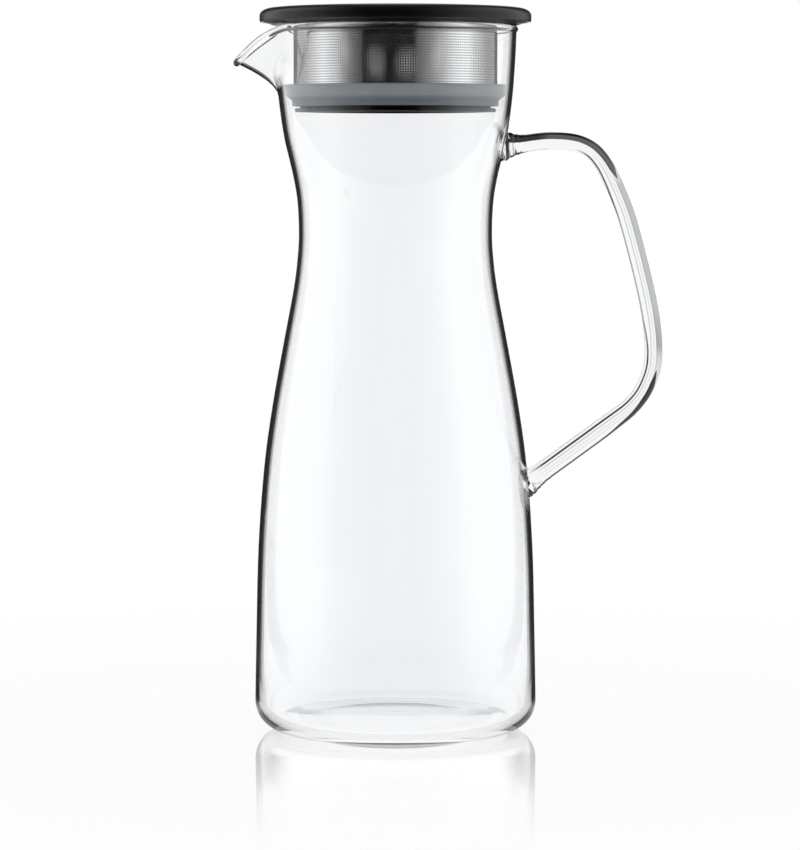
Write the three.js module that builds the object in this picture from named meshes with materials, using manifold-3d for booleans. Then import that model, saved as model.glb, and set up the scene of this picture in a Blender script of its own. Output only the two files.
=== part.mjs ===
// Glass jug for iced tea with a lift-off strainer lid.
// Millimetres, +Z up. The jug stands on z = 0, its spout points along -X and its handle along +X.
import * as THREE from 'three';
import { mergeVertices } from 'three/addons/utils/BufferGeometryUtils.js';
import Module from 'manifold-3d';

const wasm = await Module();
wasm.setup();

// Driving dimensions of the blown jug
const jugHeight = 271.4; // table to glass rim
const bellyRadius = 54.15;
const waistRadius = 37.2;
const neckHeight = 78.4; // waist to glass rim
const mouthRadius = 46.6; // outside, at the rim
const baseCornerRadius = 13;
const ringWidth = 4.6; // flat ring that the jug stands on
const puntHeight = 1.8; // push-up of the floor inside that ring
const wallThickness = 1.9;
const floorThickness = 3.4;

// Driving dimensions of the pulled spout
const spoutReach = 62.8; // jug axis to the tip, outside
const spoutDrop = 13.5; // rim down to the tip
const spoutDepth = 26.4; // rim down to where the spout leaves the neck
const spoutHalfAngle = THREE.MathUtils.degToRad(39);

// Driving dimensions of the glass rod handle
const rodRadius = 3.35;
const handleReach = 99.8; // jug axis to the middle of the rod where it stands furthest out
const handleDepth = 44; // glass rim down to the middle of the rod at its highest point
const handleFootHeight = 93.2; // middle of the rod where it meets the belly
const upperJointRadius = 6; // fused collar where the rod meets the neck
const lowerJointRadius = 4.9;
const jointLength = 9; // along the rod
const jointRoot = 3; // sunk in the wall before it is cut
const jointGap = 0.3; // rod to body

// Driving dimensions of the lid
const lidRadius = 52.4;
const lidEdgeHeight = 4.7;
const lidCrown = 0.6;
const lidCornerWidth = 5.2; // the edge rounds over slowly on top
const lidCornerHeight = 2.9;
const lidSkin = 2;
const skirtWall = 2;
const bossWidth = 1.6; // ring inside the lid top that the underplate is welded to
const dishRise = 1.6; // from the glass rim out to the lid's edge
const plateThickness = 2.4;
const landWidth = 2.9; // flat land of the underplate over the glass rim
const spigotWall = 2;
const spigotDepth = 2.4; // how far the plate's spigot reaches into the band

// Driving dimensions of the strainer, its gasket and its ring
const bandRadius = 39.1; // outside
const bandSheet = 0.4;
const bandHeight = 24.5;
const gasketHeight = 7.9;
const gasketOverlap = 1.6; // gasket standing up round the foot of the band
const barrelWall = 1.7;
const barrelStep = 0.5; // bore of the barrel inside the spigot's radius
const lipHeight = 3.6; // straight part of the gasket's lip
const lipBevel = 0.9;
const beadHeight = 1.1; // gasket bead that snaps in the groove of the ring
const grooveDepth = 1;
const grooveHeight = 2.2;
const grooveShow = 0.8; // groove left bare between gasket and flange
const ringSpigotDepth = 2.2;
const flangeHeight = 1.4;
const flangeWidth = 1.9; // flange past the floor of the groove
const ringWall = 2.9;
const edgeBevel = 0.4;
const lipClearance = 0.4; // gasket lip to the inside of the glass
const fitClearance = 0.3; // between pieces that touch

// Outline of the wall: shares of the way up, then of the way in or out
const bellyToWaistShares = [
  [0.15, 0.03], [0.33, 0.08], [0.5, 0.215], [0.63, 0.405], [0.76, 0.652], [0.88, 0.888], [0.95, 0.978], [1, 1],
];
const waistToRimShares = [
  [0.14, 0.05], [0.25, 0.19], [0.35, 0.39], [0.45, 0.6], [0.56, 0.75], [0.7, 0.885], [0.87, 0.965], [1, 1],
];
// Route of the rod: shares of the reach, then of the height between foot and top
const handleShares = [
  [0.38, 0.985], [0.463, 0.989], [0.6, 1], [0.718, 0.988], [0.797, 0.94], [0.87, 0.83], [0.92, 0.715],
  [0.983, 0.52], [1.0, 0.385], [0.977, 0.303], [0.922, 0.24], [0.815, 0.178], [0.535, 0.026], [0.43, -0.031],
];
const tipSharpShare = 0.12; // rounding of the spout's fold
const spoutRootShare = 0.35; // width of the spout at its root
const spoutCurve = 1.8; // how late the spout turns outwards
const spoutFlare = 2; // straight sides in plan
const rimDip = 2.8; // how fast the rim climbs from the tip
const collarSwell = 2.2;
const mergeTolerance = wallThickness / 1000;

const lidSegments = 48;
const jugSegments = 60;
const wallRows = 24;
const cornerRows = 4;
const rimRows = 3;
const rodSteps = 34;
const collarRows = 5;
const rodSides = 12;
const searchSteps = 400;

const glass = new THREE.MeshStandardMaterial({
  color: 0xeef4f4, roughness: 0.02, metalness: 0, transparent: true, opacity: 0.3,
});
const blackPlastic = new THREE.MeshStandardMaterial({ color: 0x101112, roughness: 0.42, metalness: 0 });
const steel = new THREE.MeshStandardMaterial({ color: 0xb9bab8, roughness: 0.28, metalness: 1 });
const silicone = new THREE.MeshStandardMaterial({ color: 0x9b9c9c, roughness: 0.5, metalness: 0 });

const at = (r, z) => new THREE.Vector2(r, z);

// A ring or disc turned from an outline of radius and height
function turned(outline, segments = lidSegments) {
  return new THREE.LatheGeometry(outline, segments).rotateX(Math.PI / 2);
}

function closedOutline(points) {
  return [...points, points[0].clone()];
}

// Round corner of a width and a height, turning about the given centre
function roundCorner(centre, width, height, startAngle, endAngle, rows) {
  const points = [];
  for (let row = 0; row <= rows; row += 1) {
    const angle = startAngle + (endAngle - startAngle) * (row / rows);
    points.push(at(centre.x + width * Math.cos(angle), centre.y + height * Math.sin(angle)));
  }
  return points;
}

// Curve of the wall from the base corner to the rim
const cornerTop = baseCornerRadius;
const waistHeight = jugHeight - neckHeight;
const wallTop = jugHeight - wallThickness / 2; // the rounded rim stands on this
const wallCurve = new THREE.SplineCurve([
  at(bellyRadius, cornerTop),
  ...bellyToWaistShares.map(([up, inward]) => at(
    bellyRadius + (waistRadius - bellyRadius) * inward,
    cornerTop + (waistHeight - cornerTop) * up,
  )),
  ...waistToRimShares.map(([up, outward]) => at(
    waistRadius + (mouthRadius - waistRadius) * outward,
    waistHeight + (wallTop - waistHeight) * up,
  )),
]);

// Outside of the jug from the axis at the base up to the rim
function outsideOutline() {
  const ringOuter = bellyRadius - baseCornerRadius;
  const ringInner = ringOuter - ringWidth;
  const corner = roundCorner(
    at(ringOuter, baseCornerRadius), baseCornerRadius, baseCornerRadius, -Math.PI / 2, 0, cornerRows,
  );
  const wall = wallCurve.getPoints(wallRows).slice(1);
  return [at(0, puntHeight), at(ringInner / 2, puntHeight * 0.8), at(ringInner, 0), ...corner, ...wall];
}

// Same outline moved in by the wall, which is thickest on the floor
function insideOutline(outside) {
  return outside.map((point, index) => {
    const before = outside[Math.max(index - 1, 0)];
    const after = outside[Math.min(index + 1, outside.length - 1)];
    const along = after.clone().sub(before).normalize();
    const rise = Math.min(point.y / (2 * baseCornerRadius), 1);
    const thickness = floorThickness + (wallThickness - floorThickness) * rise;
    if (index === 0) return at(0, point.y + thickness);
    return at(point.x - along.y * thickness, point.y + along.x * thickness);
  });
}

// Fire-polished rim between the two outlines
function rimOutline(outerEnd, innerEnd) {
  const middle = outerEnd.clone().add(innerEnd).multiplyScalar(1 / 2);
  const radius = outerEnd.distanceTo(innerEnd) / 2;
  const start = Math.atan2(outerEnd.y - middle.y, outerEnd.x - middle.x);
  return roundCorner(middle, radius, radius, start, start + Math.PI, rimRows + 1).slice(1, -1);
}

// Pulls one outline of the wall out into the spout, at an angle from the spout's middle
function pulledOutline(outline, angle) {
  const rootHeight = wallTop - spoutDepth;
  return outline.map((point) => {
    const up = THREE.MathUtils.clamp((point.y - rootHeight) / spoutDepth, 0, 1);
    if (up === 0) return point.clone();
    const halfAngle = spoutHalfAngle * (spoutRootShare + (1 - spoutRootShare) * up);
    const across = Math.min(Math.abs(angle) / halfAngle, 1);
    const rounded = Math.hypot(across, tipSharpShare) - tipSharpShare;
    const fold = 1 - rounded / (Math.hypot(1, tipSharpShare) - tipSharpShare);
    const outwards = (spoutReach - mouthRadius) * fold ** spoutFlare * up ** spoutCurve;
    return at(point.x + outwards, point.y - spoutDrop * fold ** rimDip * up);
  });
}

function jugOutline(angle) {
  const outside = pulledOutline(outsideOutline(), angle);
  const inside = insideOutline(outside);
  const rim = rimOutline(outside.at(-1), inside.at(-1));
  return [...outside, ...rim, ...inside.reverse()];
}

// Lathe of the round jug, then each column of points moved to its own outline
function jugBody() {
  const geometry = new THREE.LatheGeometry(jugOutline(Math.PI), jugSegments);
  const position = geometry.getAttribute('position');
  const rows = position.count / (jugSegments + 1);
  for (let column = 0; column <= jugSegments; column += 1) {
    const turn = ((column % jugSegments) / jugSegments) * 2 * Math.PI;
    const fromSpout = Math.atan2(Math.sin(turn - 1.5 * Math.PI), Math.cos(turn - 1.5 * Math.PI));
    jugOutline(fromSpout).forEach((point, row) => {
      position.setXYZ(column * rows + row, point.x * Math.sin(turn), point.y, point.x * Math.cos(turn));
    });
  }
  return geometry.rotateX(Math.PI / 2);
}

// Solids for joining and cutting
function solidOf(geometry) {
  const bare = geometry.clone();
  bare.deleteAttribute('normal');
  bare.deleteAttribute('uv');
  const merged = mergeVertices(bare, mergeTolerance);
  return new wasm.Manifold(new wasm.Mesh({
    numProp: 3,
    vertProperties: new Float32Array(merged.getAttribute('position').array),
    triVerts: new Uint32Array(merged.index.array),
  }));
}

function geometryOf(solid) {
  const mesh = solid.getMesh();
  const geometry = new THREE.BufferGeometry();
  geometry.setAttribute('position', new THREE.BufferAttribute(mesh.vertProperties, mesh.numProp));
  geometry.setIndex(new THREE.BufferAttribute(mesh.triVerts, 1));
  geometry.computeVertexNormals();
  return geometry;
}

// Solid of the jug's outside, grown by the gap that the handle keeps to it
function grownJug() {
  const outside = outsideOutline();
  const grown = outside.map((point, index) => {
    const before = outside[Math.max(index - 1, 0)];
    const after = outside[Math.min(index + 1, outside.length - 1)];
    const along = after.clone().sub(before).normalize();
    if (index === 0) return at(0, point.y - jointGap);
    return at(point.x + along.y * jointGap, point.y - along.x * jointGap);
  });
  return solidOf(turned([...grown, at(0, grown.at(-1).y)], jugSegments));
}

// Collar that swells from the rod to the wall, from a point on the wall along a direction
function jointCollar(wideRadius, start, direction) {
  const outline = [at(0, -jointRoot)];
  for (let row = 0; row <= collarRows; row += 1) {
    const along = row / collarRows;
    const swell = (wideRadius - rodRadius) * (1 - along) ** collarSwell;
    outline.push(at(rodRadius + swell, jointLength * along - jointRoot * (1 - along)));
  }
  outline.push(at(0, jointLength));
  const geometry = turned(outline, rodSides);
  const towards = new THREE.Quaternion().setFromUnitVectors(new THREE.Vector3(0, 0, 1), direction);
  return solidOf(geometry.applyQuaternion(towards).translate(start.x, start.y, start.z));
}

// Bent glass rod with its two fused joints, cut to the wall of the jug
function handleGeometry() {
  const height = jugHeight - handleDepth - handleFootHeight;
  const route = new THREE.CatmullRomCurve3(handleShares.map(([out, up]) => new THREE.Vector3(
    handleReach * out, 0, handleFootHeight + height * up,
  )));
  const section = new THREE.Shape();
  section.absarc(0, 0, rodRadius, 0, 2 * Math.PI);
  const rod = new THREE.ExtrudeGeometry(section, {
    steps: rodSteps, curveSegments: rodSides / 2, extrudePath: route,
  });
  const wall = outsideOutline();
  const isOutside = (share) => {
    const point = route.getPointAt(share);
    return point.x > radiusAt(wall, point.z);
  };
  const shares = Array.from({ length: searchSteps + 1 }, (_, index) => index / searchSteps);
  const upper = shares.find(isOutside);
  const lower = shares.findLast(isOutside);
  return geometryOf(solidOf(rod)
    .add(jointCollar(upperJointRadius, route.getPointAt(upper), route.getTangentAt(upper)))
    .add(jointCollar(lowerJointRadius, route.getPointAt(lower), route.getTangentAt(lower).negate()))
    .subtract(grownJug()));
}

// Radius of an outline of the wall at a height
function radiusAt(outline, height) {
  const above = outline.findIndex((point, index) => index > cornerRows && point.y >= height);
  const low = outline[above - 1];
  const high = outline[above];
  return low.x + (high.x - low.x) * ((height - low.y) / (high.y - low.y));
}

// Heights and radii that the lid's pieces share
const landHeight = jugHeight + fitClearance;
const lipEdgeHeight = landHeight + dishRise;
const lidTopHeight = lipEdgeHeight + lidEdgeHeight;
const plateTop = landHeight + plateThickness;
const plateRadius = lidRadius - skirtWall - fitClearance;
const bandBore = bandRadius - bandSheet;
const bandTop = landHeight - fitClearance;
const bandFoot = bandTop - bandHeight;
const spigotRadius = bandBore - fitClearance;

function lidTop() {
  const skinUnder = lidTopHeight - lidSkin;
  const bossOuter = plateRadius - skirtWall;
  const bossFoot = plateTop + fitClearance;
  const cornerCentre = at(lidRadius - lidCornerWidth, lidTopHeight - lidCornerHeight);
  return turned([
    at(0, lidTopHeight + lidCrown),
    at(lidRadius / 2, lidTopHeight + lidCrown * 0.75),
    ...roundCorner(cornerCentre, lidCornerWidth, lidCornerHeight, Math.PI / 2, 0, cornerRows),
    at(lidRadius, lipEdgeHeight + edgeBevel * 2),
    at(lidRadius - edgeBevel * 2, lipEdgeHeight),
    at(lidRadius - skirtWall, lipEdgeHeight),
    at(lidRadius - skirtWall, skinUnder),
    at(bossOuter, skinUnder),
    at(bossOuter, bossFoot),
    at(bossOuter - bossWidth, bossFoot),
    at(bossOuter - bossWidth, skinUnder),
    at(0, skinUnder + lidCrown),
  ].reverse());
}

// Dished plate under the lid top, with the land for the rim and the spigot for the band
function lidUnderplate() {
  const landOuter = mouthRadius + fitClearance;
  const spigotFoot = landHeight - spigotDepth;
  return turned([
    at(0, plateTop),
    at(plateRadius, plateTop),
    at(plateRadius, lipEdgeHeight - fitClearance),
    at(landOuter, landHeight),
    at(spigotRadius, landHeight),
    at(spigotRadius, spigotFoot),
    at(spigotRadius - spigotWall, spigotFoot),
    at(spigotRadius - spigotWall, landHeight),
    at(0, landHeight),
  ].reverse());
}

function strainerBand() {
  return turned(closedOutline([
    at(bandBore, bandFoot), at(bandRadius, bandFoot), at(bandRadius, bandTop), at(bandBore, bandTop),
  ]));
}

// Foot of the lid: a ring with a bore for the tea, and the gasket round it
const gasketTop = bandFoot + gasketOverlap;
const gasketFoot = gasketTop - gasketHeight;
const collarFoot = bandFoot - fitClearance;
const barrelBore = spigotRadius - barrelStep;
const ringRadius = barrelBore - fitClearance;
const grooveRadius = ringRadius - grooveDepth;

function strainerRing() {
  const grooveFoot = gasketFoot - grooveShow;
  const grooveTop = grooveFoot + grooveHeight;
  const flangeRadius = grooveRadius + flangeWidth;
  const ringFoot = grooveFoot - flangeHeight;
  const spigotTop = bandFoot + ringSpigotDepth;
  return turned(closedOutline([
    at(ringRadius - ringWall, ringFoot),
    at(flangeRadius - edgeBevel, ringFoot),
    at(flangeRadius, ringFoot + edgeBevel),
    at(flangeRadius, grooveFoot - edgeBevel / 2),
    at(grooveRadius, grooveFoot),
    at(grooveRadius, grooveTop),
    at(ringRadius, grooveTop),
    at(ringRadius, collarFoot),
    at(spigotRadius, collarFoot),
    at(spigotRadius, spigotTop),
    at(spigotRadius - spigotWall, spigotTop),
    at(ringRadius - ringWall, collarFoot),
  ]));
}

function sealGasket() {
  const lipTop = gasketTop - edgeBevel;
  const lipFoot = lipTop - lipHeight;
  const lipRadius = radiusAt(insideOutline(outsideOutline()), lipFoot) - lipClearance;
  const barrelRadius = barrelBore + barrelWall;
  const beadTop = gasketFoot + beadHeight;
  const mouthBore = bandRadius + fitClearance;
  return turned(closedOutline([
    at(grooveRadius + fitClearance, gasketFoot),
    at(barrelRadius, gasketFoot),
    at(barrelRadius, (gasketFoot + lipFoot) / 2),
    at((barrelRadius + lipRadius) / 2, lipFoot - lipBevel),
    at(lipRadius, lipFoot + lipBevel),
    at(lipRadius, lipTop - lipBevel),
    at(lipRadius - lipBevel, lipTop),
    at(mouthBore, gasketTop),
    at(mouthBore, collarFoot - fitClearance),
    at(barrelBore, collarFoot - fitClearance),
    at(barrelBore, beadTop),
    at(grooveRadius + fitClearance, beadTop),
  ]));
}

// The whole jug, moved along X so that the origin is under the middle of its box
const jug = new THREE.Group();

function addPiece(name, geometry, material) {
  const piece = new THREE.Mesh(geometry, material);
  piece.name = name;
  jug.add(piece);
}

addPiece('glass_body', jugBody(), glass);
addPiece('glass_handle', handleGeometry(), glass);
addPiece('lid_top', lidTop(), blackPlastic);
addPiece('lid_underplate', lidUnderplate(), blackPlastic);
addPiece('strainer_band', strainerBand(), steel);
addPiece('strainer_ring', strainerRing(), blackPlastic);
addPiece('seal_gasket', sealGasket(), silicone);

const reach = new THREE.Box3().setFromObject(jug);
jug.position.x = -(reach.min.x + reach.max.x) / 2;
const part = new THREE.Group();
part.add(jug);
part.updateMatrixWorld(true);

export default part;
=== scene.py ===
import math
import bpy
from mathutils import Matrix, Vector


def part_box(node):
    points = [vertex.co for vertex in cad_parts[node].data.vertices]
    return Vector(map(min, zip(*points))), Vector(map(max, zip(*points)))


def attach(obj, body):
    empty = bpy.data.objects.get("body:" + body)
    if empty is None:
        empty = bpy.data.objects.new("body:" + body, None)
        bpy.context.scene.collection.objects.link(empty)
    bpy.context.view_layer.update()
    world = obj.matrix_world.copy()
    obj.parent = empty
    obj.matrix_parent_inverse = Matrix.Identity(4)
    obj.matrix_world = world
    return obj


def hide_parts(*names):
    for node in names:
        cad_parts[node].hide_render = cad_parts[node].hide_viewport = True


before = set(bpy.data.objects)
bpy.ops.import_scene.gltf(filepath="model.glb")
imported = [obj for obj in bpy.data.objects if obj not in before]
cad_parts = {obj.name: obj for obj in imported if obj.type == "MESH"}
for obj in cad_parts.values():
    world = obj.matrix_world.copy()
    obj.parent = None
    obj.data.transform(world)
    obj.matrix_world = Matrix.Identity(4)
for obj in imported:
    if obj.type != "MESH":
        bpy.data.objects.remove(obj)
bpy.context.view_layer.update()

mm = 0.001
weld = mm / 200                        # points closer than this are one
fullTurn = 2 * math.pi

bodyLow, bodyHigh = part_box("glass_body")
lidLow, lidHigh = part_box("lid_top")
plateLow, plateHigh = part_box("lid_underplate")
bandLow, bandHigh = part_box("strainer_band")
ringLow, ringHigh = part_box("strainer_ring")
gasketLow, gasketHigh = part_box("seal_gasket")
axisX = (lidLow[0] + lidHigh[0]) / 2   # the jug's own axis
jugHeight = bodyHigh[2]
bellyRadius = bodyHigh[1] + 0.25 * mm  # blown glass bulges a little past its plain solid
spoutReach = axisX - bodyLow[0]


# Small modelling helpers

def deselectAll():
    if bpy.context.object and bpy.context.object.mode != "OBJECT":
        bpy.ops.object.mode_set(mode="OBJECT")
    bpy.ops.object.select_all(action="DESELECT")


def pick(piece):
    deselectAll()
    piece.select_set(True)
    bpy.context.view_layer.objects.active = piece


def editMode():
    bpy.ops.object.mode_set(mode="EDIT")


def objectMode():
    bpy.ops.object.mode_set(mode="OBJECT")


def selectEdges(piece, edges):
    pick(piece)
    editMode()
    bpy.ops.mesh.select_mode(type="EDGE")
    bpy.ops.mesh.select_all(action="DESELECT")
    objectMode()
    for index in edges:
        piece.data.edges[index].select = True
    editMode()


def applyModifiers(piece):
    pick(piece)
    for modifier in list(piece.modifiers):
        bpy.ops.object.modifier_apply(modifier=modifier.name)


def settle(piece, smoothAngle):
    pick(piece)
    bpy.ops.object.transform_apply(location=True, rotation=True, scale=True)
    bpy.ops.object.shade_smooth_by_angle(angle=math.radians(smoothAngle))
    return piece


# A piece turned from an outline of (radius, height), drawn point by point and spun round the jug's axis
def turned(name, outline, steps):
    deselectAll()
    radius, height = outline[0]
    bpy.ops.mesh.primitive_plane_add(size=mm, location=(0, 0, 0))
    piece = bpy.context.object
    piece.name = name
    editMode()
    bpy.ops.mesh.select_mode(type="VERT")
    bpy.ops.mesh.select_all(action="SELECT")
    bpy.ops.mesh.merge(type="CENTER")
    bpy.ops.transform.translate(value=(axisX + radius, 0, height))
    for nextRadius, nextHeight in outline[1:]:
        bpy.ops.mesh.extrude_vertices_move(
            TRANSFORM_OT_translate={"value": (nextRadius - radius, 0, nextHeight - height)})
        radius, height = nextRadius, nextHeight
    bpy.ops.mesh.select_all(action="SELECT")
    bpy.ops.mesh.spin(steps=steps, angle=fullTurn, center=(axisX, 0, 0), axis=(0, 0, 1))
    bpy.ops.mesh.select_all(action="SELECT")
    bpy.ops.mesh.remove_doubles(threshold=weld)
    bpy.ops.mesh.select_all(action="SELECT")
    bpy.ops.mesh.normals_make_consistent(inside=False)
    objectMode()
    return piece


# Smooth line through points, as even steps between each pair
def smoothLine(points, steps):
    line = []
    for index in range(len(points) - 1):
        before = Vector(points[max(index - 1, 0)])
        start = Vector(points[index])
        end = Vector(points[index + 1])
        after = Vector(points[min(index + 2, len(points) - 1)])
        for step in range(steps):
            t = step / steps
            line.append(0.5 * (2 * start + (end - before) * t
                               + (2 * before - 5 * start + 4 * end - after) * t ** 2
                               + (3 * start - before - 3 * end + after) * t ** 3))
    line.append(Vector(points[-1]))
    return [tuple(point) for point in line]


def roundCorner(centre, width, height, startAngle, endAngle, steps):
    angles = [math.radians(startAngle + (endAngle - startAngle) * step / steps) for step in range(steps + 1)]
    return [(centre[0] + width * math.cos(angle), centre[1] + height * math.sin(angle)) for angle in angles]


# Outline with every corner between its ends softened by a small radius
def softened(outline, radius, closed=True, steps=3):
    result = []
    count = len(outline)
    sideShare = 0.45    # under half of a side, so that two corners never meet
    for index, point in enumerate(outline):
        if not closed and index in (0, count - 1):
            result.append(point)
            continue
        corner = Vector(point)
        before = Vector(outline[index - 1]) - corner
        after = Vector(outline[(index + 1) % count]) - corner
        reach = min(radius, before.length * sideShare, after.length * sideShare)
        start = corner + before.normalized() * reach
        end = corner + after.normalized() * reach
        for step in range(steps + 1):
            t = step / steps
            result.append(tuple((1 - t) ** 2 * start + 2 * t * (1 - t) * corner + t ** 2 * end))
    if closed:
        result.append(result[0])
    return result


# Glass jug: body, spout and handle are one fused piece

jug = {
    "waistRadius": 37.2 * mm,
    "neckHeight": 78.4 * mm,         # waist to rim
    "mouthRadius": 46.6 * mm,
    "cornerRadius": 11.5 * mm,
    "ringWidth": 4.6 * mm,           # flat ring it stands on
    "punt": 1.8 * mm,                # push-up of the base
    "puntMiddleShare": (0.5, 0.8),   # how far out and how high it still is half way
    "wall": 1.9 * mm,
    "floor": 3.4 * mm,
    "belly": [(0.15, 0.03), (0.33, 0.08), (0.5, 0.215), (0.63, 0.405), (0.76, 0.652), (0.88, 0.888),
              (0.95, 0.978), (1, 1)],
    "neck": [(0.14, 0.05), (0.25, 0.19), (0.35, 0.375), (0.45, 0.57), (0.56, 0.718), (0.7, 0.852),
             (0.87, 0.947), (1, 0.99)],
    "steps": 180,                    # round the jug
    "wallSteps": 5,                  # between two points of the wall
    "cornerSteps": 12,
    "spoutDrop": 13.5 * mm,
    "spoutDepth": 26.4 * mm,
    "spoutHalfAngle": math.radians(33),
    "spoutRoot": 0.37,               # share of the width at the spout's root
    "spoutRise": 1.8,                # powers that shape the pull upwards and the tip's drop
    "spoutTip": 2.8,
    "tipSharp": 0.12,
    "bead": 1.45 * mm,               # radius of the fire-polished rim
    "footShare": 0.9,                # what is narrower than this share of the waist is the foot
    "barRounding": 10,               # of the bead and the rod
    "sliverSides": 8,                # holes with up to this many sides are closed after the joins
    "smoothAngle": 50,
}

handle = {
    "rodRadius": 3.35 * mm,
    "lowRadius": 3.8 * mm,           # the rod is thicker below its lower bend
    "thickFrom": 94 * mm,            # out from the jug's axis
    "thickOver": 14 * mm,
    "reach": 99.55 * mm,
    "depth": 44 * mm,                # rim to the middle of the rod at its highest point
    "foot": 93.2 * mm,
    "route": [(0.38, 0.985), (0.463, 0.989), (0.6, 1), (0.718, 0.988), (0.797, 0.94), (0.87, 0.83),
              (0.92, 0.715), (0.983, 0.52), (1.0, 0.387), (0.976, 0.308), (0.921, 0.245), (0.815, 0.182),
              (0.535, 0.03), (0.43, -0.027)],
    "upperFlare": 6 * mm,            # the rod's radius where it is fused on
    "lowerFlare": 5.2 * mm,
    "flareLength": 10 * mm,
    "flareCurve": 2.2,
    "ripple": 0.22 * mm,             # rings of drawn glass where the rod is fused on
    "ripplePitch": 2.3 * mm,
    "steps": 24,
}


def jugOutline():
    waistHeight = jugHeight - jug["neckHeight"]
    top = jugHeight - jug["bead"]
    corner = jug["cornerRadius"]
    ringOuter = bellyRadius - corner
    ringInner = ringOuter - jug["ringWidth"]
    wall = [(bellyRadius, corner)]
    wall += [(bellyRadius + (jug["waistRadius"] - bellyRadius) * inward, corner + (waistHeight - corner) * up)
             for up, inward in jug["belly"]]
    wall += [(jug["waistRadius"] + (jug["mouthRadius"] - jug["waistRadius"]) * outward,
              waistHeight + (top - waistHeight) * up) for up, outward in jug["neck"]]
    out, up = jug["puntMiddleShare"]
    puntMiddle = (ringInner * out, jug["punt"] * up)
    foot = smoothLine([(0, jug["punt"]), puntMiddle, (ringInner, 0)], jug["wallSteps"])
    base = roundCorner((ringOuter, corner), corner, corner, -90, 0, jug["cornerSteps"])
    return foot + base[:-1] + smoothLine(wall, jug["wallSteps"])


# Where a point of the plain neck goes when the spout is pulled out of it, along -X
def pulled(x, y, z):
    up = min((z - jugHeight) / jug["spoutDepth"] + 1, 1)
    if up <= 0:
        return x, y, z
    sharp = jug["tipSharp"]
    outX, outY = x - axisX, y
    radius = math.hypot(outX, outY)
    angle = abs(math.atan2(outY, -outX))
    halfAngle = jug["spoutHalfAngle"] * (jug["spoutRoot"] + (1 - jug["spoutRoot"]) * up)
    across = min(angle / halfAngle, 1)
    fold = 1 - (math.hypot(across, sharp) - sharp) / (math.hypot(1, sharp) - sharp)
    pull = (spoutReach - jug["mouthRadius"]) * fold ** 2 * up ** jug["spoutRise"]
    drop = jug["spoutDrop"] * fold ** jug["spoutTip"] * up
    return x + outX / radius * pull, y + outY / radius * pull, z - drop


def makeJug():
    body = turned("jugGlass", jugOutline(), jug["steps"])
    for vertex in body.data.vertices:
        vertex.co = pulled(*vertex.co)
    group = body.vertex_groups.new(name="thickness")
    for vertex in body.data.vertices:
        rise = min(vertex.co.z / (2 * jug["cornerRadius"]), 1)
        group.add([vertex.index], 1 - (1 - jug["wall"] / jug["floor"]) * rise, "REPLACE")
    solidify = body.modifiers.new("wall", "SOLIDIFY")
    solidify.thickness = jug["floor"]
    solidify.offset = -1
    solidify.use_even_offset = True
    solidify.vertex_group = group.name
    applyModifiers(body)
    body.vertex_groups.clear()
    boolean(body, makeBead(), "UNION")
    return body


# Round bar along a line of points, each with its own radius
def bar(name, line, radii, closed=False):
    curve = bpy.data.curves.new(name, "CURVE")
    curve.dimensions = "3D"
    curve.bevel_depth = 1
    curve.bevel_resolution = jug["barRounding"]
    curve.use_fill_caps = not closed
    spline = curve.splines.new("POLY")
    spline.points.add(len(line) - 1)
    spline.use_cyclic_u = closed
    for point, place, radius in zip(spline.points, line, radii):
        point.co = (*place, 1)
        point.radius = radius
    piece = bpy.data.objects.new(name, curve)
    bpy.context.collection.objects.link(piece)
    pick(piece)
    bpy.ops.object.convert(target="MESH")
    piece = bpy.context.object
    editMode()
    bpy.ops.mesh.select_all(action="SELECT")
    bpy.ops.mesh.remove_doubles(threshold=2 * weld)
    bpy.ops.mesh.normals_make_consistent(inside=False)
    objectMode()
    return piece


# Bead of the rim, along the mouth and out round the spout
def makeBead():
    radius = jug["mouthRadius"] - jug["wall"] / 2
    height = jugHeight - jug["bead"]
    steps = 2 * jug["steps"]
    line = []
    for step in range(steps):
        angle = fullTurn * step / steps
        line.append(pulled(axisX + radius * math.cos(angle), radius * math.sin(angle), height))
    return bar("bead", line, [jug["bead"]] * steps, closed=True)


# Rod swelling into its two fused joints
def makeRod():
    height = jugHeight - handle["depth"] - handle["foot"]
    route = [(axisX + handle["reach"] * out, 0, handle["foot"] + height * up) for out, up in handle["route"]]
    line = smoothLine(route, handle["steps"])
    outline = jugOutline()
    inside = [index for index, point in enumerate(line) if point[0] - axisX < radiusAt(outline, point[2])]
    upper = max(index for index in inside if index < len(line) / 2)
    lower = min(index for index in inside if index > len(line) / 2)
    walk = [0]
    for a, b in zip(line, line[1:]):
        walk.append(walk[-1] + (Vector(b) - Vector(a)).length)
    radii = []
    for index, away in enumerate(walk):
        thick = (axisX + handle["thickFrom"] - line[index][0]) / handle["thickOver"]
        thick = min(max(thick, 0), 1) if index > len(line) / 2 else 0
        plain = handle["rodRadius"] + (handle["lowRadius"] - handle["rodRadius"]) * thick
        radius = plain
        for past, joint in ((away - walk[upper], "upperFlare"), (walk[lower] - away, "lowerFlare")):
            near = min(max(1 - past / handle["flareLength"], 0), 1)
            radius += (handle[joint] - plain) * near ** handle["flareCurve"]
            radius += handle["ripple"] * near * math.sin(fullTurn * past / handle["ripplePitch"])
        radii.append(radius)
    return bar("rod", line, radii)


# Radius of the jug's wall at a height. The foot, which is narrower than the waist, is passed over
def radiusAt(outline, height):
    for low, high in zip(outline, outline[1:]):
        if low[1] <= height < high[1] and high[0] > jug["waistRadius"] * jug["footShare"]:
            return low[0] + (high[0] - low[0]) * (height - low[1]) / (high[1] - low[1])
    return 0


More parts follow.
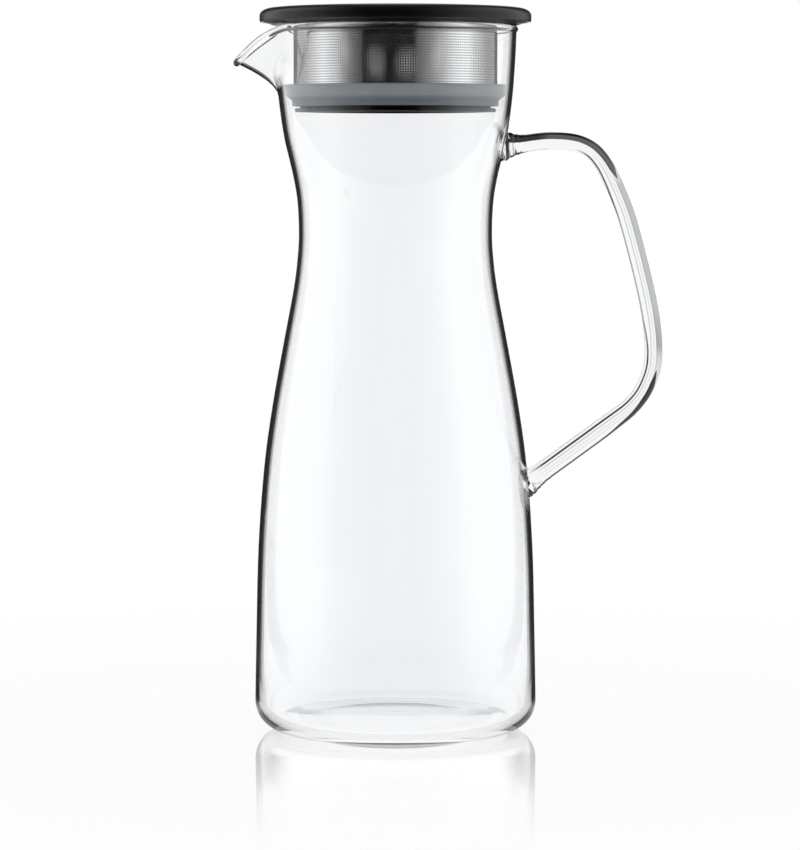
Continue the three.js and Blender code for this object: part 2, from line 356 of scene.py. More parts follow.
def boolean(piece, other, operation):
    modifier = piece.modifiers.new(operation, "BOOLEAN")
    modifier.operation = operation
    modifier.object = other
    modifier.solver = "EXACT"
    applyModifiers(piece)
    bpy.data.objects.remove(other)


def fuseHandle(body):
    rod = makeRod()
    halfWall = jug["wall"] / 2
    core = [(max(radius - halfWall, 0), height) for radius, height in jugOutline()]
    core = [(0, core[0][1]), *core[1:], (0, core[-1][1])]
    boolean(rod, turned("core", core, jug["steps"]), "DIFFERENCE")
    boolean(body, rod, "UNION")
    pick(body)
    editMode()
    bpy.ops.mesh.select_all(action="SELECT")
    bpy.ops.mesh.remove_doubles(threshold=weld)
    bpy.ops.mesh.dissolve_degenerate(threshold=weld)
    bpy.ops.mesh.select_all(action="SELECT")
    bpy.ops.mesh.fill_holes(sides=jug["sliverSides"])
    objectMode()
    return body


jugGlass = settle(fuseHandle(makeJug()), jug["smoothAngle"])
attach(jugGlass, "jug")
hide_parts("glass_body", "glass_handle")
print("jug glass made:", len(jugGlass.data.polygons), "faces")


# Perforated steel band: one cell repeated into a sheet, rolled, seamed and hemmed

band = {
    "columns": 250,
    "seamColumns": 3,
    "rows": 22,
    "holeRadius": 0.29 * mm,
    "holeSides": 6,
    "footHem": 2.1 * mm,
    "sheet": 0.4 * mm,
    "seamAngle": math.radians(-3.4),     # from the back, towards the spout
    "smoothAngle": 30,
    # painted shade: brightness by the facing ratio, darker where the band is seen obliquely
    "obliqueShade": [(0.0, 1), (0.3, 0.97), (0.38, 0.78), (0.47, 0.57), (0.58, 0.38), (0.74, 0.26), (1, 0.22)],
}

bandRadius = (bandHigh[0] - bandLow[0]) / 2


def makeBand():
    radius = bandRadius
    pitch = fullTurn * radius / band["columns"]
    holed = band["columns"] - band["seamColumns"]
    joinReach = pitch / 50
    deselectAll()
    bpy.ops.mesh.primitive_plane_add(size=pitch, location=(pitch / 2, pitch / 2, 0))
    sheet = bpy.context.object
    sheet.name = "strainerBand"
    editMode()
    bpy.ops.mesh.select_all(action="SELECT")
    bpy.ops.mesh.delete(type="ONLY_FACE")
    bpy.ops.mesh.primitive_circle_add(vertices=band["holeSides"], radius=band["holeRadius"],
                                      location=(pitch / 2, pitch / 2, 0))
    bpy.ops.mesh.select_all(action="SELECT")
    bpy.ops.mesh.fill(use_beauty=True)
    objectMode()
    for axis, count in ((0, holed), (1, band["rows"])):
        array = sheet.modifiers.new("repeat", "ARRAY")
        array.count = count
        array.use_relative_offset = False
        array.use_constant_offset = True
        array.constant_offset_displace = [pitch if index == axis else 0 for index in range(3)]
        array.use_merge_vertices = True
        array.merge_threshold = joinReach
    applyModifiers(sheet)
    pick(sheet)
    bpy.ops.object.transform_apply(location=True, rotation=True, scale=True)
    foot = bandLow[2] + band["footHem"]
    start = band["seamAngle"] + band["seamColumns"] * pitch / radius / 2
    for vertex in sheet.data.vertices:
        angle = start + vertex.co.x / radius
        vertex.co = (axisX + radius * math.sin(angle), radius * math.cos(angle), foot + vertex.co.y)
    closeSeam(sheet, foot, pitch)
    for vertex in sheet.data.vertices:
        stretch = radius / math.hypot(vertex.co.x - axisX, vertex.co.y)
        vertex.co = (axisX + (vertex.co.x - axisX) * stretch, vertex.co.y * stretch, vertex.co.z)
    for edge, height in ((foot, bandLow[2]), (foot + band["rows"] * pitch, bandHigh[2])):
        hem(sheet, edge, height, pitch)
    editMode()
    bpy.ops.mesh.select_all(action="SELECT")
    bpy.ops.mesh.remove_doubles(threshold=joinReach)
    bpy.ops.mesh.normals_make_consistent(inside=False)
    objectMode()
    solidify = sheet.modifiers.new("sheet", "SOLIDIFY")
    solidify.thickness = band["sheet"]
    solidify.offset = -1
    applyModifiers(sheet)
    return sheet


def boundaryEdges(piece):
    count = {}
    for polygon in piece.data.polygons:
        for key in polygon.edge_keys:
            count[key] = count.get(key, 0) + 1
    return [edge for edge in piece.data.edges if count.get(tuple(sorted(edge.vertices)), 0) == 1]


# The two ends of the rolled sheet are joined by a strip without holes
def closeSeam(sheet, foot, pitch):
    ends = []
    near = pitch / 20
    for edge in boundaryEdges(sheet):
        a, b = (sheet.data.vertices[index].co for index in edge.vertices)
        if abs(abs(a.z - b.z) - pitch) < near and (a - b).xy.length < near:
            ends.append(edge.index)
    selectEdges(sheet, ends)
    bpy.ops.mesh.bridge_edge_loops(number_cuts=band["seamColumns"] - 1, interpolation="LINEAR")
    objectMode()


# Plain strip from an edge of the holed sheet to the band's own edge
def hem(sheet, edgeHeight, height, pitch):
    loop = []
    near = pitch / 20
    for edge in boundaryEdges(sheet):
        if all(abs(sheet.data.vertices[index].co.z - edgeHeight) < near for index in edge.vertices):
            loop.append(edge.index)
    selectEdges(sheet, loop)
    bpy.ops.mesh.extrude_edges_move(TRANSFORM_OT_translate={"value": (0, 0, height - edgeHeight)})
    objectMode()


strainerBand = settle(makeBand(), band["smoothAngle"])
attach(strainerBand, "lid")
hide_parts("strainer_band")
print("strainer band made:", len(strainerBand.data.polygons), "faces")


# Lid: black top, dished underplate, ring with a bore, silicone gasket

lid = {
    "crown": 0.6 * mm,
    "crownMiddleShare": (0.5, 0.75),   # how far out and how high it still is half way
    "draft": 0.3 * mm,                 # the top's edge lies this far inside its plain solid
    "cornerWidth": 4.5 * mm,
    "cornerHeight": 2.9 * mm,
    "skirt": 1.7 * mm,
    "skirtDrop": 0.6 * mm,
    "skin": 2 * mm,
    "boss": 1.6 * mm,
    "spigotWall": 2 * mm,
    "land": 0.1 * mm,                  # glass rim up to the underplate
    "fit": 0.3 * mm,
    "topSoftEdge": 0.8 * mm,
    "softEdge": 0.5 * mm,
    "steps": 160,                      # round the lid
    "crownSteps": 6,
    "edgeSteps": 12,
    "smoothAngle": 40,
}

lidFoot = lidLow[2] - lid["skirtDrop"]
spigotRadius = bandRadius - band["sheet"] - lid["fit"]


def makeLidTop():
    radius = lidHigh[1] - lid["draft"]
    top = lidHigh[2] - lid["crown"]
    skin = top - lid["skin"]
    inner = radius - lid["skirt"]
    bossOuter = inner - lid["fit"] - lid["skirt"]
    bossFoot = plateHigh[2] + lid["fit"]
    out, up = lid["crownMiddleShare"]
    crown = smoothLine([(0, lidHigh[2]), (radius * out, top + lid["crown"] * up),
                        (radius - lid["cornerWidth"], top)], lid["crownSteps"])
    edge = roundCorner((radius - lid["cornerWidth"], top - lid["cornerHeight"]),
                       lid["cornerWidth"], lid["cornerHeight"], 90, 0, lid["edgeSteps"])
    under = softened([
        (radius, top - lid["cornerHeight"]), (radius, lidFoot), (inner, lidFoot), (inner, skin),
        (bossOuter, skin), (bossOuter, bossFoot), (bossOuter - lid["boss"], bossFoot),
        (bossOuter - lid["boss"], skin), (0, skin + lid["crown"]),
    ], lid["topSoftEdge"], closed=False)
    return turned("lidTop", crown[:-1] + edge[:-1] + under, lid["steps"])


def makeUnderplate():
    plateRadius = plateHigh[1]
    landHeight = jugHeight + lid["land"]
    landOuter = jug["mouthRadius"] + lid["fit"]
    spigotBore = spigotRadius - lid["spigotWall"]
    outline = softened([
        (0, plateHigh[2]), (plateRadius, plateHigh[2]), (plateRadius, lidFoot),
        (landOuter, landHeight), (spigotRadius, landHeight), (spigotRadius, plateLow[2]),
        (spigotBore, plateLow[2]), (spigotBore, landHeight), (0, landHeight),
    ], lid["softEdge"], closed=False)
    return turned("lidUnderplate", outline, lid["steps"])


ring = {
    "wall": 2.9 * mm,
    "grooveDepth": 1 * mm,
    "grooveHeight": 2.2 * mm,
    "flangeHeight": 1.4 * mm,
    "barrelStep": 0.5 * mm,
    "softEdge": 0.35 * mm,
}

gasket = {
    "barrelWall": 1.7 * mm,
    "barrelHeight": 2.2 * mm,
    "bead": 1.1 * mm,
    "lipBevel": 1.3 * mm,
    "lipHeight": 4.4 * mm,
    "lipRise": 0.3 * mm,
    "lipEdge": 0.4 * mm,
    "lipGap": 0.03 * mm,
    "softEdge": 0.35 * mm,
}

barrelBore = spigotRadius - ring["barrelStep"]
ringRadius = barrelBore - lid["fit"]
grooveRadius = ringRadius - ring["grooveDepth"]
collarFoot = bandLow[2] - lid["fit"]


def makeRing():
    grooveFoot = ringLow[2] + ring["flangeHeight"]
    bore = ringRadius - ring["wall"]
    flange = (ringHigh[0] - ringLow[0]) / 2
    return turned("strainerRing", softened([
        (bore, ringLow[2]), (flange, ringLow[2]), (flange, grooveFoot), (grooveRadius, grooveFoot),
        (grooveRadius, grooveFoot + ring["grooveHeight"]), (ringRadius, grooveFoot + ring["grooveHeight"]),
        (ringRadius, collarFoot), (spigotRadius, collarFoot), (spigotRadius, ringHigh[2]),
        (spigotRadius - lid["spigotWall"], ringHigh[2]), (bore, collarFoot),
    ], ring["softEdge"]), lid["steps"])


# The lip springs out until it all but touches the glass
def makeGasket():
    outline = jugOutline()
    barrel = barrelBore + gasket["barrelWall"]
    foot, top = gasketLow[2], gasketHigh[2] + gasket["lipRise"]
    lipFoot = top - gasket["lipHeight"]
    lipLow, lipHigh = lipFoot + gasket["lipBevel"], top - gasket["lipEdge"]
    lowRadius = radiusAt(outline, lipLow) - jug["wall"] - gasket["lipGap"]
    highRadius = radiusAt(outline, lipHigh) - jug["wall"] - gasket["lipGap"]
    mouth = bandRadius + lid["fit"]
    return turned("sealGasket", softened([
        (grooveRadius + lid["fit"], foot), (barrel, foot), (barrel, foot + gasket["barrelHeight"]),
        (lowRadius - gasket["lipBevel"], lipFoot), (lowRadius, lipLow), (highRadius, lipHigh),
        (highRadius - gasket["lipEdge"], top), (mouth, top),
        (mouth, collarFoot - lid["fit"]), (barrelBore, collarFoot - lid["fit"]),
        (barrelBore, foot + gasket["bead"]), (grooveRadius + lid["fit"], foot + gasket["bead"]),
    ], gasket["softEdge"]), lid["steps"])


lidPieces = {}
for maker, node, slotName in ((makeLidTop, "lid_top", "black_plastic"),
                              (makeUnderplate, "lid_underplate", "black_plastic"),
                              (makeRing, "strainer_ring", "black_plastic"),
                              (makeGasket, "seal_gasket", "silicone")):
    piece = settle(maker(), lid["smoothAngle"])
    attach(piece, "lid")
    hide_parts(node)
    lidPieces[node] = piece
print("lid made:", ", ".join(lidPieces))


# Shader maths as expressions on sockets

class Wire:
    def __init__(self, tree, socket):
        self.tree = tree
        self.socket = socket

    def maths(self, operation, first, second=None, clamp=False):
        node = self.tree.nodes.new("ShaderNodeMath")
        node.operation = operation
        node.use_clamp = clamp
        for socket, value in zip(node.inputs, (first, second)):
            connect(self.tree, socket, value)
        return Wire(self.tree, node.outputs[0])

    def __add__(self, other):
        return self.maths("ADD", self, other)

    def __radd__(self, other):
        return self.maths("ADD", other, self)

    def __sub__(self, other):
        return self.maths("SUBTRACT", self, other)

    def __rsub__(self, other):
        return self.maths("SUBTRACT", other, self)

    def __mul__(self, other):
        return self.maths("MULTIPLY", self, other)

    def __rmul__(self, other):
        return self.maths("MULTIPLY", other, self)

    def __truediv__(self, other):
        return self.maths("DIVIDE", self, other)

    def __pow__(self, other):
        return self.maths("POWER", self, other)

    def least(self, other):
        return self.maths("MINIMUM", self, other)

    def most(self, other):
        return self.maths("MAXIMUM", self, other)

    def absolute(self):
        return self.maths("ABSOLUTE", self)

    # 0 below the first value, 1 above the second, smooth between
    def rise(self, low, high):
        share = self.maths("DIVIDE", self - low, high - low, clamp=True)
        return share * share * (3 - 2 * share)


def connect(tree, socket, value):
    if value is None:
        return
    if isinstance(value, Wire):
        tree.links.new(value.socket, socket)
    else:
        socket.default_value = value


# A Mix node has sockets of the same name for each kind of value: the ones in use are enabled
def pickSocket(sockets, key):
    if isinstance(key, int):
        return sockets[key]
    return next(socket for socket in sockets if socket.name == key and socket.enabled)


class Shader:
    def __init__(self, tree):
        self.tree = tree
        self.tree.nodes.clear()

    def node(self, kind, settings=None, inputs=None, output=0):
        node = self.tree.nodes.new(kind)
        for key, value in (settings or {}).items():
            if key == "stops":
                ramp = node.color_ramp
                while len(ramp.elements) < len(value):
                    ramp.elements.new(0.5)
                for element, (place, shade) in zip(ramp.elements, value):
                    element.position = place
                    element.color = (shade, shade, shade, 1)
            else:
                setattr(node, key, value)
        for key, value in (inputs or {}).items():
            connect(self.tree, pickSocket(node.inputs, key), value)
        return Wire(self.tree, pickSocket(node.outputs, output))

    def show(self, kind, surface):
        out = self.tree.nodes.new(kind)
        connect(self.tree, out.inputs["Surface"], surface)

    def places(self):
        return self.node("ShaderNodeTexCoord", output="Object")

    def parts(self, vector):
        return self.outputs("ShaderNodeSeparateXYZ", {"Vector": vector})

    def rays(self):
        return self.outputs("ShaderNodeLightPath")

    def outputs(self, kind, inputs=None):
        first = self.node(kind, inputs=inputs)
        return {socket.name: Wire(self.tree, socket) for socket in first.socket.node.outputs}

    def mix(self, factor, first, second):
        return self.node("ShaderNodeMixShader", inputs={0: factor, 1: first, 2: second})

    def noise(self, scale, detail, stretch=(1, 1, 1)):
        mapped = self.node("ShaderNodeMapping", inputs={"Vector": self.places(), "Scale": stretch})
        return self.node("ShaderNodeTexNoise", inputs={"Vector": mapped, "Scale": scale, "Detail": detail})

    def grey(self, value):
        return self.node("ShaderNodeCombineColor", inputs={"Red": value, "Green": value, "Blue": value})

    # from a tint in the dark to a fainter one in full light
    def cool(self, light, dark, clear):
        shade = self.blend(light, dark, clear)
        return self.node("ShaderNodeVectorMath", {"operation": "SCALE"}, {"Vector": shade, "Scale": light})

    def blend(self, factor, first, second):
        return self.node("ShaderNodeMix", {"data_type": "RGBA"},
                         {"Factor": factor, "A": (*first, 1), "B": (*second, 1)}, output="Result")

    # a value that follows listed stops
    def curve(self, value, stops):
        ramp = self.node("ShaderNodeValToRGB", {"stops": stops}, {"Fac": value})
        return self.node("ShaderNodeRGBToBW", inputs={"Color": ramp})

    def bump(self, height, distance):
        return self.node("ShaderNodeBump", inputs={"Height": height, "Distance": distance, "Strength": 1})


def finish(name, constants, varying):
    material = bpy.data.materials.new(name)
    material.use_nodes = True
    shader = Shader(material.node_tree)
    inputs = dict(constants)
    inputs.update(varying(shader))
    shader.show("ShaderNodeOutputMaterial", shader.node("ShaderNodeBsdfPrincipled", inputs=inputs))
    return material


# Painted shade: glass seen edge-on is painted grey in its colour, standing in for the dim parts of a room
# that it gathers: shares of the facing ratio
edge = {
    "start": 0.79,
    "width": 0.02,
    "depth": 0.66,
    "base": 0.25,                    # share of it that is left at the very bottom
    "baseFrom": 5 * mm,
    "baseTo": 30 * mm,
    "clearOut": 43 * mm,             # none of it on the upper side of the spout: out from the axis
    "clearOutWidth": 4 * mm,
    "clearUp": 256.5 * mm,           # and up from the floor
    "clearUpWidth": 3 * mm,
    "tint": (0.89, 0.955, 1.0),      # what is left of the light is slightly cool
    "clear": (0.984, 0.992, 1.0),    # and clear glass has a trace of it
}

# Slow waves in the blown wall and in the drawn rod, and swirls round both fused joints
ripples = {
    "wall": (22, 0.12),              # scale and depth
    "rod": (60, 0.05),
    "swirl": (180, 0.9),
    "swirlReach": 11 * mm,
}

# Painted shade: the dark bands, rim and lines that the bent rod gathers from the room, painted on its colour.
# Stops go along the rod, by the angle round the middle of the handle, in half turns. Places are shares across
# the rod, from its inner to its outer side. Depths are the light lost
rodLight = {
    "middle": (45 * mm, 165 * mm),   # out from the jug's axis, up from the floor
    "turn": [(0, 0), (0.074, 0), (0.132, 0.125), (0.18, 0.303), (0.258, 0.377), (0.348, 0.416),
             (0.512, 0.443), (0.612, 0.507), (0.67, 0.621), (0.723, 0.756), (0.794, 0.797), (1, 0.8)],
    "darkFrom": [(0, 0.595), (0.164, 0.595), (0.2, 0.62), (0.222, 0.77), (0.226, 1), (0.63, 1),
                 (0.639, 0.725), (0.667, 0.65), (0.7, 0.655), (0.789, 0.87), (0.82, 0.89), (1, 0.89)],
    "darkTo": [(0, 1), (0.164, 1), (0.2, 0.96), (0.222, 0.77), (0.639, 0.725), (0.68, 1), (1, 1)],
    "darkPast": 0.05,
    "dark": [(0, 0.96), (0.05, 0.96), (0.07, 0.88), (0.5, 0.88), (0.55, 0.99), (0.8, 0.98),
             (0.83, 0.95), (1, 0.95)],
    "rim": [(0, 0.97), (0.18, 0.97), (0.21, 0), (1, 0)],
    "rimFrom": 0.85,
    "pale": [(0.2, 0), (0.235, 0.45), (0.5, 0.45), (0.59, 0.58), (0.615, 0.3), (0.66, 0.2),
             (0.68, 0), (1, 0)],
    "paleFrom": 0.635,
    "line": [(0, 0), (0.12, 0), (0.15, 0.92), (0.25, 0.88), (0.3, 0.5), (0.52, 0.5), (0.56, 0.7),
             (0.62, 0.97), (0.94, 0.97), (0.97, 0), (1, 0)],
    "lineAt": [(0, 0.13), (0.13, 0.13), (0.19, 0.1), (0.25, 0.04), (0.3, 0.03), (0.54, 0.03),
               (0.6, 0.14), (0.66, 0.165), (0.74, 0.17), (1, 0.17)],
    "lineHalf": 0.045,
    # streaks: painted shade lines along the grip
    "streaks": [(0.33, 0.5, 0.02), (0.5, 0.15, 0.03), (0.66, 0.25, 0.02)],   # place, depth and half width
    "streaksFrom": (0.14, 0.2),
    "streaksTo": (0.93, 0.96),
    "soft": 0.015,                   # half width of the edges of the dark parts and lines
    "wideSoft": 0.02,                # and of the rim and the pale part
    "lean": 0.6,                     # the parts show where the facing ratio, less this share of the lean,
    "seenFrom": -0.04,               # is above these
    "seenTo": -0.03,
}


def facingRatio(shader):
    return shader.node("ShaderNodeLayerWeight", inputs={"Blend": 0.5}, output="Facing")


# Tint, painted shade and relief of glass. Each of its faces lets this share of the light through, painted
# into its colour, and is given its square, because the shader takes the root of the colour at each face
def glassSurface(shader, place, light, kind):
    near = 0
    reach = ripples["swirlReach"]
    for height in (jugHeight - handle["depth"], handle["foot"]):
        across = place["X"] - (axisX + radiusAt(jugOutline(), height))
        up = place["Z"] - height
        away = (across * across + place["Y"] * place["Y"] + up * up) ** 0.5
        near = near + (1 - away.rise(reach / 2, reach))
    scale, depth = ripples[kind]
    swirlScale, swirlDepth = ripples["swirl"]
    relief = shader.noise(scale, detail=1) * depth + near * shader.noise(swirlScale, detail=1) * swirlDepth
    return {
        "Base Color": shader.cool(light * light, edge["tint"], edge["clear"]),
        "Normal": shader.bump(relief, mm),
    }


def glassFinish(shader):
    place = shader.parts(shader.places())
    wall = edge["base"] + (1 - edge["base"]) * place["Z"].rise(edge["baseFrom"], edge["baseTo"])
    spout = (axisX - place["X"]).rise(edge["clearOut"], edge["clearOut"] + edge["clearOutWidth"])
    clear = spout * place["Z"].rise(edge["clearUp"], edge["clearUp"] + edge["clearUpWidth"])
    # painted shade: the glass is painted darker where it is seen edge-on, less so at the very bottom and none
    # on the spout's upper side
    shade = facingRatio(shader).rise(edge["start"], edge["start"] + edge["width"]) * wall
    light = 1 - shade * (1 - clear) * edge["depth"]
    return glassSurface(shader, place, light, "wall")


def rodFinish(shader):
    place = shader.parts(shader.places())
    surface = shader.outputs("ShaderNodeNewGeometry")
    normal = shader.parts(surface["Normal"])
    middleX, middleZ = rodLight["middle"]
    across, up = place["X"] - (axisX + middleX), place["Z"] - middleZ
    along = across.maths("ARCTAN2", across, up) / math.pi
    turn = shader.curve(along, rodLight["turn"]) * math.pi
    outward = normal["X"] * turn.maths("SINE", turn) + normal["Z"] * turn.maths("COSINE", turn)
    share = 0.5 + 0.5 * outward

    # the painted shade shows only where the rod is seen from its side, so that it is clear when its inner or
    # outer side is looked at
    lean = 1 - (1 - (outward * outward).least(1)) ** 0.5
    side = (facingRatio(shader) - rodLight["lean"] * lean).rise(rodLight["seenFrom"], rodLight["seenTo"])
    seen = side * (1 - surface["Backfacing"])

    def curve(key):
        return shader.curve(along, rodLight[key])

    def past(edgeAt, soft):
        return share.rise(edgeAt - soft, edgeAt + soft)

    def between(low, high):
        return past(low, rodLight["soft"]) * (1 - past(high, rodLight["soft"]))

    lineHalf = rodLight["lineHalf"]
    # painted shade: each part below is a share of light lost, painted into the rod's colour
    lost = [between(curve("darkFrom"), curve("darkTo") + rodLight["darkPast"]) * curve("dark"),
            past(rodLight["rimFrom"], rodLight["wideSoft"]) * curve("rim"),
            past(rodLight["paleFrom"], rodLight["wideSoft"]) * curve("pale"),
            between(curve("lineAt") - lineHalf, curve("lineAt") + lineHalf) * curve("line")]
    grip = along.rise(*rodLight["streaksFrom"]) * (1 - along.rise(*rodLight["streaksTo"]))
    lost += [between(at - half, at + half) * depth * grip for at, depth, half in rodLight["streaks"]]
    light = 1
    for part in lost:
        light = (1 - part * seen) * light
    return glassSurface(shader, place, light, "rod")


blackPlastic = {
    "deep": (0.003, 0.003, 0.0035),
    "pale": (0.006, 0.006, 0.007),
    "cloudScale": 90,
    "lidRoughness": (0.26, 0.12),    # the least, and what the clouds add
    "plateRoughness": (0.3, 0.08),
    "grainScale": 2600,
    "grainDepth": 0.01 * mm,
}


def blackFinish(shader, roughness):
    cloud = shader.noise(blackPlastic["cloudScale"], detail=3)
    least, more = roughness
    return {
        "Base Color": shader.blend(cloud, blackPlastic["deep"], blackPlastic["pale"]),
        "Roughness": least + more * cloud,
    }


def plasticFinish(shader):
    grain = shader.bump(shader.noise(blackPlastic["grainScale"], detail=2), blackPlastic["grainDepth"])
    return {**blackFinish(shader, blackPlastic["lidRoughness"]), "Normal": grain}


def underplateFinish(shader):
    return blackFinish(shader, blackPlastic["plateRoughness"])


steelLook = {
    # painted shade: the inside of the band is painted darker than its outer side
    "inner": 0.25,                   # brightness inside the band, and what its outer side has more
    "outerMore": 0.65,
    "outerFrom": 0.7,                # shares of the sheet's thickness, in from the outer side
    "outerTo": 0.3,
    "cloudScale": 70,
    "cloud": (0.96, 0.06),           # the least, and what the clouds add
    "rolling": (60, 60, 9000),       # fine lines run round the band
    "roughness": (0.07, 0.05),
    "grainDepth": 0.002 * mm,
}


def steelFinish(shader):
    place = shader.parts(shader.places())
    across = place["X"] - axisX
    radius = (across * across + place["Y"] * place["Y"]) ** 0.5
    # painted shade: the inner side of the sheet is painted darker than the outer
    outer = radius.rise(bandRadius - band["sheet"] * steelLook["outerFrom"],
                        bandRadius - band["sheet"] * steelLook["outerTo"])
    rolled = shader.noise(1, detail=3, stretch=steelLook["rolling"])
    least, more = steelLook["cloud"]
    cloud = least + more * shader.noise(steelLook["cloudScale"], detail=2)
    # painted shade: seen obliquely, the band is painted darker, standing in for the shaded walls of its
    # holes, which take more and more of the view
    obliqueShade = shader.curve(facingRatio(shader), band["obliqueShade"])
    smooth, rough = steelLook["roughness"]
    return {
        "Base Color": shader.grey((steelLook["inner"] + steelLook["outerMore"] * outer) * cloud * obliqueShade),
        "Roughness": smooth + rough * rolled,
        "Normal": shader.bump(rolled, steelLook["grainDepth"]),
    }


# Smoke silicone: the lip is paler, the thin barrel shows the black ring behind it
siliconeLook = {
    "barrel": (0.4, 0.45, 0.49),
    "lip": (0.76, 0.82, 0.85),
    "lipFrom": 2.4 * mm,             # up from the gasket's foot
    "lipTo": 4.4 * mm,
    "cloudScale": 120,
    "roughness": (0.5, 0.12),
    "grainScale": 1800,
    "grainDepth": 0.006 * mm,
}


def siliconeFinish(shader):
    height = shader.parts(shader.places())["Z"]
    lip = height.rise(gasketLow[2] + siliconeLook["lipFrom"], gasketLow[2] + siliconeLook["lipTo"])
    least, more = siliconeLook["roughness"]
    return {
        "Base Color": shader.blend(lip, siliconeLook["barrel"], siliconeLook["lip"]),
        "Roughness": least + more * shader.noise(siliconeLook["cloudScale"], detail=3),
        "Normal": shader.bump(shader.noise(siliconeLook["grainScale"], detail=2), siliconeLook["grainDepth"]),
    }


clearGlass = {"Transmission Weight": 1, "IOR": 1.47, "Roughness": 0.008}
glass = finish("clearGlass", clearGlass, glassFinish)
rodGlass = finish("rodGlass", clearGlass, rodFinish)
plastic = finish("satinBlackPlastic", {"IOR": 1.5, "Specular IOR Level": 0.36}, plasticFinish)
underPlastic = finish("mouldedBlackPlastic", {"IOR": 1.5, "Specular IOR Level": 0.3}, underplateFinish)
steel = finish("rolledSteel", {"Metallic": 1}, steelFinish)
silicone = finish("smokeSilicone", {"IOR": 1.41, "Transmission Weight": 0.32}, siliconeFinish)


def dress(piece, material):
    piece.data.materials.clear()
    piece.data.materials.append(material)


# The handle's own faces are those further out than the body's wall
def markRod(piece):
    outline = jugOutline()
    highest = jugHeight - handle["depth"] / 2
    for polygon in piece.data.polygons:
        place = polygon.center
        beyond = math.hypot(place.x - axisX, place.y) - radiusAt(outline, place.z)
        if place.x > axisX and place.z < highest and beyond > jug["wall"] / 2:
            polygon.material_index = 1


dress(jugGlass, glass)
jugGlass.data.materials.append(rodGlass)
dress(strainerBand, steel)
dress(lidPieces["lid_top"], plastic)
dress(lidPieces["lid_underplate"], underPlastic)
dress(lidPieces["strainer_ring"], plastic)
dress(lidPieces["seal_gasket"], silicone)
markRod(jugGlass)
jugGlass.visible_shadow = False


# Floor, backdrop and light

studio = {
    "floorRadius": 1.6,              # metres, as all lengths here
    "floorSides": 96,
    "floorColour": (0.95, 0.95, 0.95, 1),
    "mirrorNear": 0.05,              # the floor mirrors the jug, less and less from here
    "mirrorFar": 0.33,               # to here
    "mirror": 1.1,                   # against a plain glossy surface of this index
    "mirrorIor": 1.45,
    # painted contact shadow: in reflections that have not passed through glass, the floor beside the jug is
    # painted darker
    "contact": 0.075,                # mirrored in the jug's outside, the floor beside it is darker up to here
    "contactWidth": 0.015,
    "contactSide": 0.015,
    "contactSideWidth": 30 * mm,
    "contactDepth": 0.5,
    "under": 0.06,                   # elsewhere near the jug it is mirrored bright, up to here
    "underEnd": 0.12,
    "shadowShare": 0.15,             # share of the floor's look that is lit, and so shadowed, at the jug
    "shadowNear": 0.5,               # and none from here on
    # what polished surfaces see, by the angle round from the back in shares of a turn
    "gloss": [(0.0, 1), (0.012, 1), (0.022, 0.03), (0.09, 0.03), (0.101, 0.95), (0.12, 1), (0.24, 1),
              (0.265, 0.93), (0.29, 0.78), (0.315, 0.62), (0.335, 0.36), (0.357, 0.19), (0.377, 0.12),
              (0.396, 0.08), (0.399, 0), (0.558, 0), (0.561, 0.09), (0.57, 0.12), (0.61, 0.26), (0.65, 0.5),
              (0.672, 0.74), (0.695, 0.9), (0.72, 1), (0.745, 1), (0.77, 0.88), (0.9, 0.84), (0.915, 0.03),
              (0.978, 0.03), (0.988, 1)],
    # what light sees that the far wall turns back
    "farWall": [(0.0, 1), (0.012, 1), (0.022, 0.02), (0.09, 0.02), (0.101, 0.95), (0.13, 1), (0.87, 1),
                (0.9, 0.95), (0.92, 0.02), (0.978, 0.02), (0.988, 1), (1, 1)],
    "farCrossings": (4.5, 5.5),
    "glossPeak": 1.15,               # the brightest that a mirrored ray sees
    # parts of a unit direction over which a zone sets in: up for the ceiling, back and up for the backdrop
    "ceiling": (0.7, 0.95),
    "overhead": 0.1,                 # how bright the ceiling is
    "backdropBack": (0.2, 0.5),
    "backdropUp": (0.06, 0.14),
    # soft light from the front is this share weaker, and the back part of a direction over which it recovers
    "diffuseFront": 0.5,
    "diffuseTurn": (-0.6, 0.2),
}


# How bright a mirrored direction is. Light that the outer face of the far wall turns back has passed through
# six faces of glass on its way out, and light turned back once by any other face through four at most
def studioLight(shader, x, y, rays):
    fromBack = x.maths("ARCTAN2", x, -1 * y) / fullTurn + 0.5
    plain = shader.curve(fromBack, studio["gloss"]) * studio["glossPeak"]
    far = shader.curve(fromBack, studio["farWall"])
    return plain + (far - plain) * rays["Transmission Depth"].rise(*studio["farCrossings"])


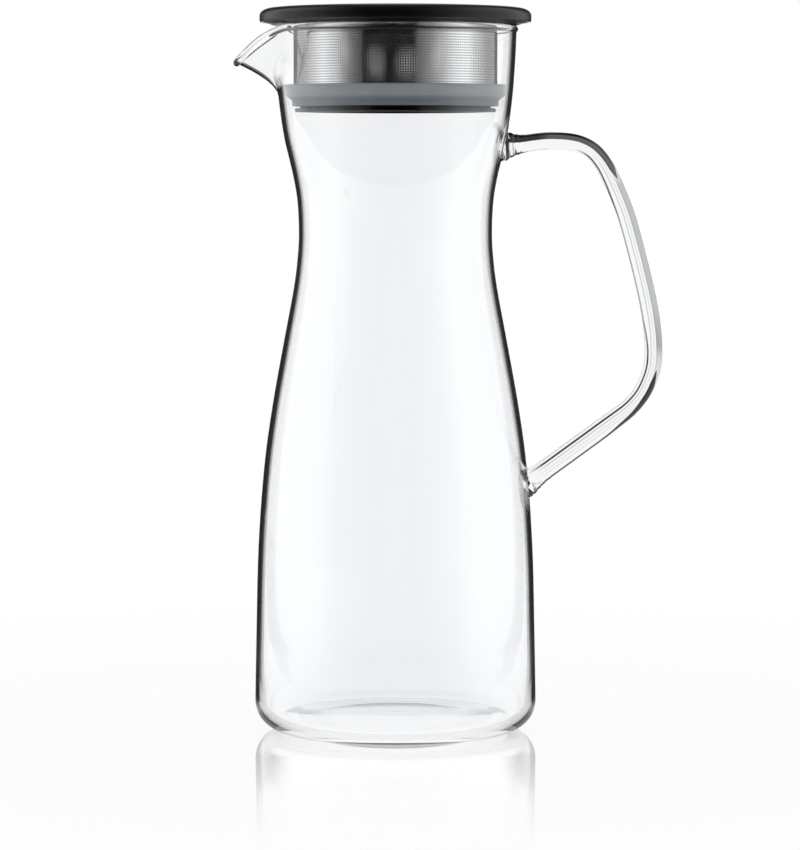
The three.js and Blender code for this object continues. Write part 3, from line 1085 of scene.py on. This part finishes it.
def makeFloor():
    deselectAll()
    bpy.ops.mesh.primitive_circle_add(vertices=studio["floorSides"], radius=studio["floorRadius"],
                                      fill_type="NGON", location=(axisX, 0, 0))
    floor = bpy.context.object
    floor.name = "floor"
    material = bpy.data.materials.new("paleFloor")
    material.use_nodes = True
    shader = Shader(material.node_tree)
    place = shader.parts(shader.places())
    away = (place["X"] * place["X"] + place["Y"] * place["Y"]) ** 0.5
    rays = shader.rays()
    mirrored = rays["Glossy Depth"].least(1)
    past = (place["X"].absolute() - bellyRadius).most(0)
    # painted contact shadow beside the jug, only in reflections that have not passed through glass
    contact = 1 - away.rise(studio["contact"] - studio["contactWidth"], studio["contact"])
    outside = 1 - rays["Transmission Depth"].least(1)
    sideways = place["X"].absolute().rise(studio["contactSide"],
                                          studio["contactSide"] + studio["contactSideWidth"])
    near = 1 - contact * outside * sideways * studio["contactDepth"]
    around = studioLight(shader, past, place["Y"], rays)
    lit = near + (around - near) * away.rise(studio["under"], studio["underEnd"])
    shown = rays["Is Camera Ray"].most(rays["Is Transmission Ray"]).most(rays["Is Glossy Ray"])
    grazing = shader.node("ShaderNodeFresnel", inputs={"IOR": studio["mirrorIor"]})
    fade = 1 - away.rise(studio["mirrorNear"], studio["mirrorFar"])
    mirror = (fade * fade * studio["mirror"] * grazing).least(1)
    pale = shader.node("ShaderNodeBsdfDiffuse", inputs={"Color": studio["floorColour"]})
    white = shader.node("ShaderNodeEmission", inputs={
        "Color": (1, 1, 1, 1), "Strength": 1 - mirrored * (1 - lit)})
    gloss = shader.node("ShaderNodeBsdfGlossy", inputs={"Color": (1, 1, 1, 1), "Roughness": 0})
    shadow = (1 - away.rise(0, studio["shadowNear"])) * studio["shadowShare"]
    plain = shader.mix(shown * (1 - shadow), pale, white)
    shader.show("ShaderNodeOutputMaterial", shader.mix(rays["Is Camera Ray"] * mirror, plain, gloss))
    floor.data.materials.append(material)


def makeWorld():
    world = bpy.data.worlds.new("studio")
    bpy.context.scene.world = world
    world.use_nodes = True
    shader = Shader(world.node_tree)
    direction = shader.parts(shader.node("ShaderNodeTexCoord", output="Generated"))
    overhead = direction["Z"].rise(*studio["ceiling"])
    rays = shader.rays()
    # a mirrored ray that has passed glass sees the backdrop white above the studio's dark strips
    backdrop = direction["Y"].rise(*studio["backdropBack"]) * direction["Z"].rise(*studio["backdropUp"])
    backdrop = backdrop * rays["Transmission Depth"].least(1)
    around = studioLight(shader, direction["X"], direction["Y"], rays).most(backdrop)
    reflected = around * (1 - overhead) + overhead * studio["overhead"]
    fromFloor = rays["Is Singular Ray"] * (1 - rays["Is Transmission Ray"])
    mirrored = rays["Glossy Depth"].least(1) * (1 - fromFloor)
    scattered = rays["Diffuse Depth"].least(1) * (1 - mirrored)
    front = (1 - direction["Y"].rise(*studio["diffuseTurn"])) * studio["diffuseFront"]
    background = shader.node("ShaderNodeBackground", inputs={
        "Color": (1, 1, 1, 1), "Strength": 1 - mirrored * (1 - reflected) - scattered * front})
    shader.show("ShaderNodeOutputWorld", background)
    world.cycles.sampling_method = "NONE"    # every ray then sees the studio meant for its kind


view = {
    "distance": 1.445,               # metres
    "height": 0.22,
    "aside": 1.75 * mm,
    "tilt": math.radians(4.04),      # down
    "focalPixels": 3750,             # focal length in the image's own pixels
    "imageHeight": 850,
    "sensor": 36,
    "farEnd": 30,
}


def makeCamera():
    data = bpy.data.cameras.new("camera")
    camera = bpy.data.objects.new("camera", data)
    bpy.context.collection.objects.link(camera)
    camera.location = (axisX + view["aside"], -view["distance"], view["height"])
    camera.rotation_euler = (math.pi / 2 - view["tilt"], 0, 0)
    data.sensor_width = view["sensor"]
    data.lens = view["focalPixels"] / view["imageHeight"] * view["sensor"]
    data.clip_end = view["farEnd"]
    bpy.context.scene.camera = camera


makeFloor()
makeWorld()
makeCamera()
bpy.context.scene.view_settings.view_transform = "Standard"
print("stage ready")
